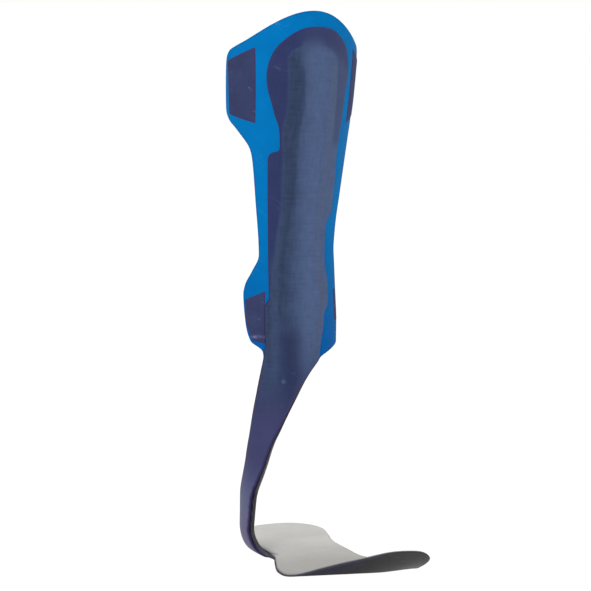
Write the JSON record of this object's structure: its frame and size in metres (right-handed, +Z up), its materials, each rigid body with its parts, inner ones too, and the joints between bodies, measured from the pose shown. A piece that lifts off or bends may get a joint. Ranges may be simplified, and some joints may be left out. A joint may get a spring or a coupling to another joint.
{
  "type": "ankle-foot orthosis",
  "caption": "Carbon composite leg brace: shin shell in front, flat strut down the outer side of the ankle, and a full-length foot plate with an upturned toe.",
  "frame": {"origin": "on the floor under the leg's axis, at the flat of the heel", "axes": "+Z up along the shin, toes towards -Y, outer (lateral) side of the right foot towards -X"},
  "size_m": [0.1083, 0.2628, 0.412],
  "materials": {
    "blue_laminate": "satin blue outer film over carbon cloth",
    "navy_laminate": "satin navy carbon laminate",
    "slate_laminate": "satin slate-blue woven laminate",
    "dark_laminate": "near-black carbon laminate",
    "patch": "matt navy film for strap pads",
    "plate_laminate": "dark grey laminate, fine peel-ply texture",
    "plate_cover": "light grey matt cover"
  },
  "bodies": {
    "foot": {"strut_lower_core": "dark_laminate", "strut_lower_face": "navy_laminate", "footplate": "plate_laminate", "footplate_cover": "plate_cover"},
    "leg": {"shell_outer_layer": "blue_laminate", "shell_inner_skin": "dark_laminate", "spine_panel": "navy_laminate", "spine_ridge": "slate_laminate", "lateral_rail": "navy_laminate", "medial_rail": "navy_laminate", "upper_lateral_patch": "patch", "upper_medial_patch": "patch", "lower_lateral_patch": "patch", "lower_medial_patch": "patch", "strut_upper_core": "dark_laminate", "strut_upper_face": "navy_laminate", "strut_flexure_core": "dark_laminate", "strut_flexure_face": "navy_laminate"},
    "toe": {"toe_plate": "plate_laminate", "toe_cover": "plate_cover"}
  },
  "joints": [
    {"name": "ankle_flex", "type": "hinge", "parent": "foot", "child": "leg", "pos_m": [-0.0443, -0.0369, 0.085], "axis": [1, 0, 0], "range_deg": [-6, 10], "stiffness_Nm_per_rad": 140, "deforming": ["strut_flexure_core", "strut_flexure_face"]},
    {"name": "toe_flex", "type": "hinge", "parent": "foot", "child": "toe", "pos_m": [0, -0.1137, 0.0036], "axis": [-0.9848, 0.1736, 0], "range_deg": [0, 25], "stiffness_Nm_per_rad": 5}
  ]
}
